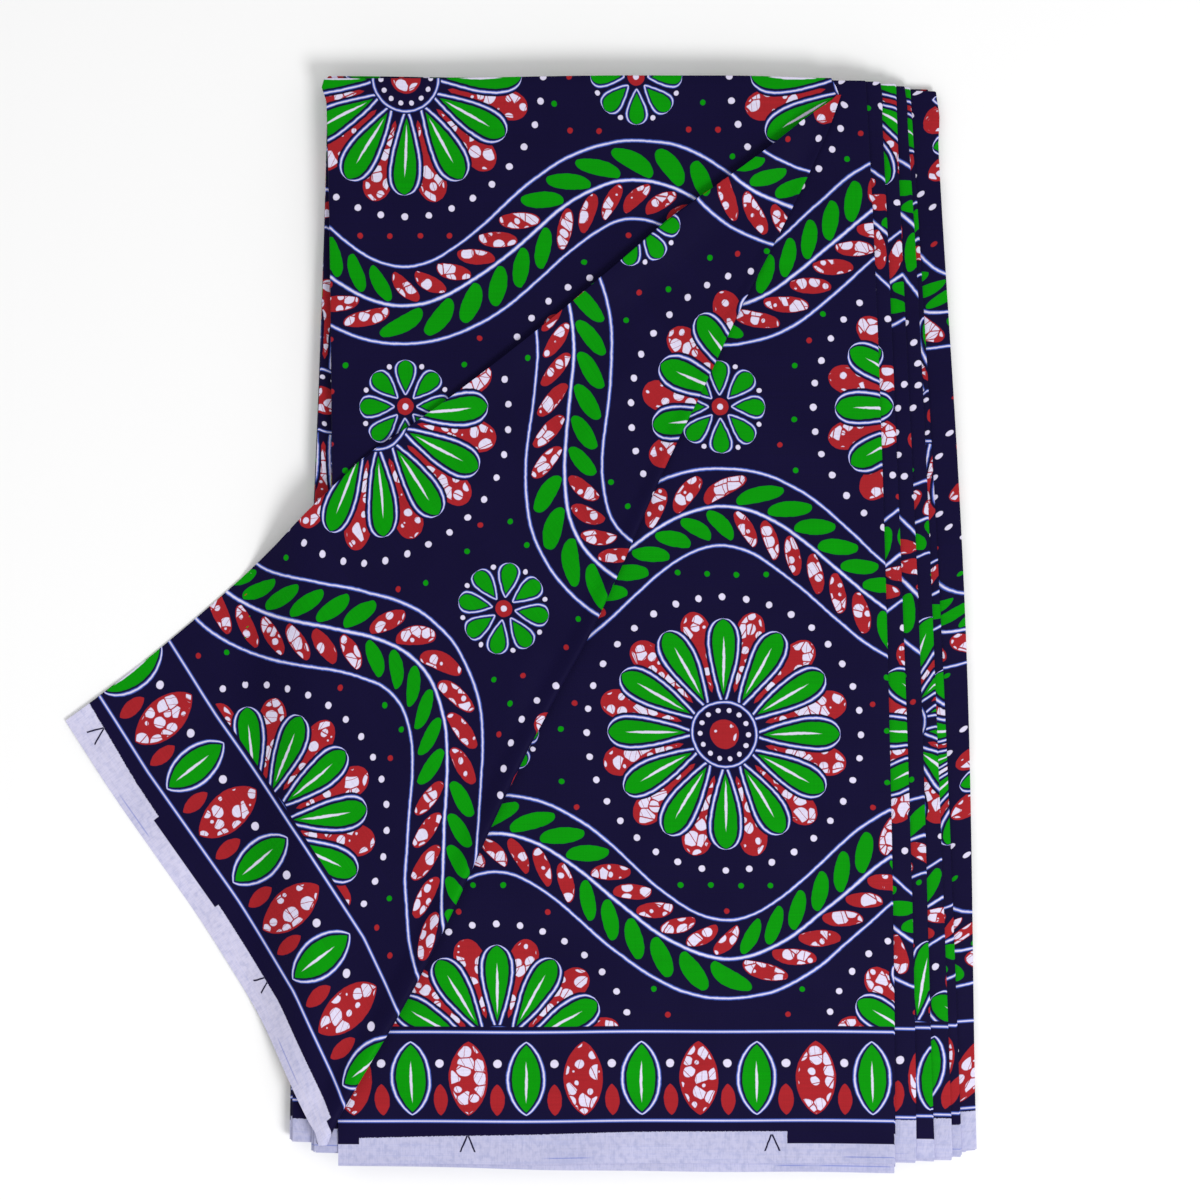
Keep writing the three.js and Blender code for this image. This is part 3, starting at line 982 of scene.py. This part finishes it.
def motif_place(x, y):
    """The row of motifs, x from its nearest flower and rosette, and y from its middle."""
    row = (y / ROW).math("ROUND")
    flower_x = (x - row.odd() * (REPEAT / 2)).wrapped(REPEAT)
    rosette_x = (x - (1.0 - row.odd()) * (REPEAT / 2)).wrapped(REPEAT)
    return row, flower_x, rosette_x, y - row * ROW


def seeds(x, y):
    """Small dots in staggered rows where the larger motifs leave room, as layers."""
    row = (y / SEED_ROW).math("ROUND")
    dot_x = (x + row.odd() * (SEED_STEP / 2)).wrapped(SEED_STEP)
    dot_y = y.wrapped(SEED_ROW)
    dot = dot_depth(dot_x, dot_y, radius=1.5)
    middle_x, middle_y = x - dot_x, y - dot_y
    off, _ = garland_place(middle_x, middle_y)
    _, flower_x, rosette_x, motif_y = motif_place(middle_x, middle_y)
    room = abs(off) - SEED_ROOM["garland"]
    room = room.least(from_middle(flower_x, motif_y) - SEED_ROOM["flower"])
    room = room.least(from_middle(rosette_x, motif_y) - SEED_ROOM["rosette"])
    seed = dot.inside() * room.above(0.0)
    return [(seed * row.odd(), GREEN), (seed * (1.0 - row.odd()), BRICK)]


def border(x, edge, crackle):
    """Band of upright leaves beside each selvage, as layers."""
    pitch = REPEAT / BORDER_LEAVES
    number = (x / pitch).floor()
    local = x - (number + 0.5) * pitch
    between = x.wrapped(pitch)
    red = number.odd()
    up = edge - BORDER_FOOT
    leaf = leaf_depth(up, local, length=40.0, half_width=11.0, fullness=0.7)
    small = leaf_depth(up, between, length=17.0, half_width=4.2, fullness=0.7)
    bud = dot_depth(up - 28.0, between, radius=2.2)
    vein = leaf_depth(up - 6.0, local, length=24.0, half_width=1.0)
    lines = [layer for line in BORDER_LINES for layer in drawn_line(edge - line, half_width=0.6)]
    return [
        ((BORDER_REACH - edge).inside(), NAVY),
        *lines,
        (bud.inside(), WHITE),
        (small.inside(), BRICK),
        ((leaf - 0.2).inside() * red, BRICK),
        ((leaf - 1.4).least(crackle).inside() * red, WHITE),
        *within(drawn_line(leaf - 0.8, half_width=0.7), 1.0 - red),
        ((leaf - 3.0).inside() * (1.0 - red), GREEN),
        (vein.inside() * (1.0 - red), WHITE),
    ]


def wave(x, crest, length, height):
    """Swings from -height to height, and is highest at crest."""
    return ((x - crest) * (2 * math.pi / length)).cos() * height


def selvage_blocks(x):
    """1 in the stretches of the selvage that have a dark block."""
    large, small = (
        (half_width - abs((x - middle).wrapped(repeat))).inside()
        for middle, repeat, half_width in SELVAGE_BLOCKS
    )
    return large.most(small)


def selvage_strokes(x, edge):
    """1 on the short slanting strokes, which stand in pairs."""
    from_pair = abs((x - STROKES["shift"]).wrapped(STROKES["repeat"]))
    off = from_pair - (STROKES["top"] - edge) * STROKES["spread"]
    return (0.5 - abs(off)).inside() * (STROKES["half"] - abs(edge - STROKES["middle"])).inside()


def selvage(x, edge, streaks, cloud, mottle, hair):
    """White strip with dark blocks where the print runs on, and short strokes, as layers."""
    high_wave, low_wave = (wave(x, *row) for row in SELVAGE_WAVES)
    depth = high_wave + low_wave + SELVAGE_DEPTH
    block = selvage_blocks(x) * (edge - BLOCK_EDGE).inside()
    strip = (depth - edge + hair.swung(0.8)).inside() * (1.0 - block)
    smudge = streaks.past(0.5, gain=5.0) * 0.3 + cloud.past(0.5, gain=3.0) * 0.3
    smudge = smudge + mottle.past(0.46, gain=4.0) * 0.35 + hair.past(0.5, gain=5.0) * 0.25
    smudge = smudge + x.past(GREYER["start"], gain=1 / GREYER["run"]) * GREYER["share"]
    dash = (0.3 - abs(edge - DASH_EDGE)).inside() * cloud.past(0.56, gain=14.0) * 0.5
    return [
        (strip, SELVAGE_WHITE),
        (strip * smudge, SELVAGE_GREY),
        (strip * dash, HALO),
        (strip * selvage_strokes(x, edge), NAVY),
    ]


def print_colour(s, t, streaks):
    """Colour of the printed cloth from its own coordinates in millimetres."""
    drift = channels(noise(s, t, "drift").outputs["Color"])
    wobble = channels(noise(s, t, "wobble").outputs["Color"])
    x = s + PRINT_SHIFT + drift[0].swung(DRIFT) + wobble[0].swung(WOBBLE)
    y = t - HALF_WIDTH + drift[1].swung(DRIFT) + wobble[1].swung(WOBBLE)
    edge = HALF_WIDTH - abs(t - HALF_WIDTH)
    crackle = wax_crackle(x + drift[1].swung(CRACKLE_DRIFT), y)
    row, flower_x, rosette_x, motif_y = motif_place(x, y)
    return painted(NAVY, [
        *seeds(x, y),
        *garland(x, y, crackle),
        *within(rosette(rosette_x, motif_y), abs(row).below(ROSETTE_ROWS)),
        *flower(flower_x, motif_y, crackle),
        *border(x, edge, crackle),
        *selvage(x, edge, streaks, drift[2], wobble[2], noise_value(s, t, "hair")),
    ])


def printed_cotton():
    """Crisp plain-weave cotton with the print on both faces."""
    material = bpy.data.materials.new("printed_cotton")
    material.use_nodes = True
    tree = material.node_tree
    Value.tree = tree
    shader = tree.nodes["Principled BSDF"]
    place = new_node("ShaderNodeUVMap", uv_map="cloth")
    parts = new_node("ShaderNodeSeparateXYZ")
    tree.links.new(place.outputs[0], parts.inputs[0])
    s, t = (Value(parts.outputs[i]) * (1 / MM) for i in (0, 1))

    # Streaks along the length, slubs across it, and slow unevenness of the dye
    streaks, slubs, cloud = (noise_value(s, t, name) for name in ("streaks", "slubs", "cloud"))
    tone = streaks.swung(TONE["streaks"]) + slubs.swung(TONE["slubs"]) + cloud.swung(TONE["cloud"])
    toned = new_node("ShaderNodeVectorMath", operation="SCALE")
    tree.links.new(print_colour(s, t, streaks), toned.inputs[0])
    tree.links.new((tone + 1.0).socket, toned.inputs["Scale"])
    tree.links.new(toned.outputs[0], shader.inputs["Base Color"])

    rough = streaks.swung(ROUGHNESS["streaks"]) - cloud.swung(ROUGHNESS["cloud"]) + ROUGHNESS["mean"]
    tree.links.new(rough.socket, shader.inputs["Roughness"])
    shader.inputs["Specular IOR Level"].default_value = SPECULAR
    shader.inputs["Sheen Weight"].default_value = SHEEN["weight"]
    shader.inputs["Sheen Roughness"].default_value = SHEEN["roughness"]

    warp, weft = ((way * (2 * math.pi / THREAD)).sin() for way in (s, t))
    relief = warp * weft * RELIEF["weave"] + streaks * RELIEF["streaks"] + slubs * RELIEF["slubs"]
    bump = new_node("ShaderNodeBump")
    bump.inputs["Strength"].default_value = BUMP_STRENGTH
    bump.inputs["Distance"].default_value = MM
    tree.links.new(relief.socket, bump.inputs["Height"])
    tree.links.new(bump.outputs[0], shader.inputs["Normal"])
    return material


def add_cloth():
    """All the pieces of the cloth, each attached to the root in place of the CAD nodes that it stands
    for.
    """
    cotton = printed_cotton()
    leaf_1_end = fold_at(1, Rows(ROW_SPACING, FAR_ROWS).y)
    next_s = FOLD_START[0] - leaf_1_end + math.pi * TURN_RADIUS
    for number, (name, first, last, nodes, flat_length) in enumerate(PIECES):
        if first == 1:
            piece = top_cloth(name)
        else:
            piece, next_s = stack_cloth(name, first, last, next_s)
        piece.data.materials.append(cotton)
        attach(piece, "root")
        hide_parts(*nodes)


def pale_floor():
    """Plain matt surface."""
    material = bpy.data.materials.new("pale_floor")
    material.use_nodes = True
    shader = material.node_tree.nodes["Principled BSDF"]
    shader.inputs["Base Color"].default_value = (*FLOOR_COLOUR, 1.0)
    shader.inputs["Roughness"].default_value = FLOOR_ROUGHNESS
    shader.inputs["Specular IOR Level"].default_value = FLOOR_SPECULAR
    return material


def add_floor():
    signs = ((-1, -1), (1, -1), (1, 1), (-1, 1))
    corners = [(x * FLOOR_HALF, y * FLOOR_HALF, 0) for x, y in signs]
    mesh = bpy.data.meshes.new("floor")
    mesh.from_pydata(corners, [], [(0, 1, 2, 3)])
    floor = bpy.data.objects.new("floor", mesh)
    floor.data.materials.append(pale_floor())
    bpy.context.scene.collection.objects.link(floor)


def add_light(name, place, size, power):
    """Round soft light that points at the origin."""
    light = bpy.data.lights.new(name, "AREA")
    light.shape = "DISK"
    light.size = size
    light.energy = power
    lamp = bpy.data.objects.new(name, light)
    lamp.location = place
    aim = -lamp.location.normalized()
    lamp.rotation_euler = aim.to_track_quat("-Z", "Y").to_euler()
    bpy.context.scene.collection.objects.link(lamp)


def add_lighting():
    world = bpy.data.worlds.new("studio")
    world.use_nodes = True
    background = world.node_tree.nodes["Background"]
    background.inputs["Color"].default_value = (1.0, 1.0, 1.0, 1.0)
    background.inputs["Strength"].default_value = WORLD_STRENGTH
    bpy.context.scene.world = world
    for light in LIGHTS:
        add_light(*light)
    bpy.context.scene.view_settings.view_transform = "Standard"


def add_camera():
    """Camera that looks straight down."""
    data = bpy.data.cameras.new("camera")
    data.lens = CAMERA_LENS
    data.sensor_width = CAMERA_SENSOR
    data.clip_end = CAMERA_CLIP_END
    camera = bpy.data.objects.new("camera", data)
    camera.location = CAMERA_PLACE
    bpy.context.scene.collection.objects.link(camera)
    bpy.context.scene.camera = camera


add_cloth()
add_floor()
add_lighting()
add_camera()
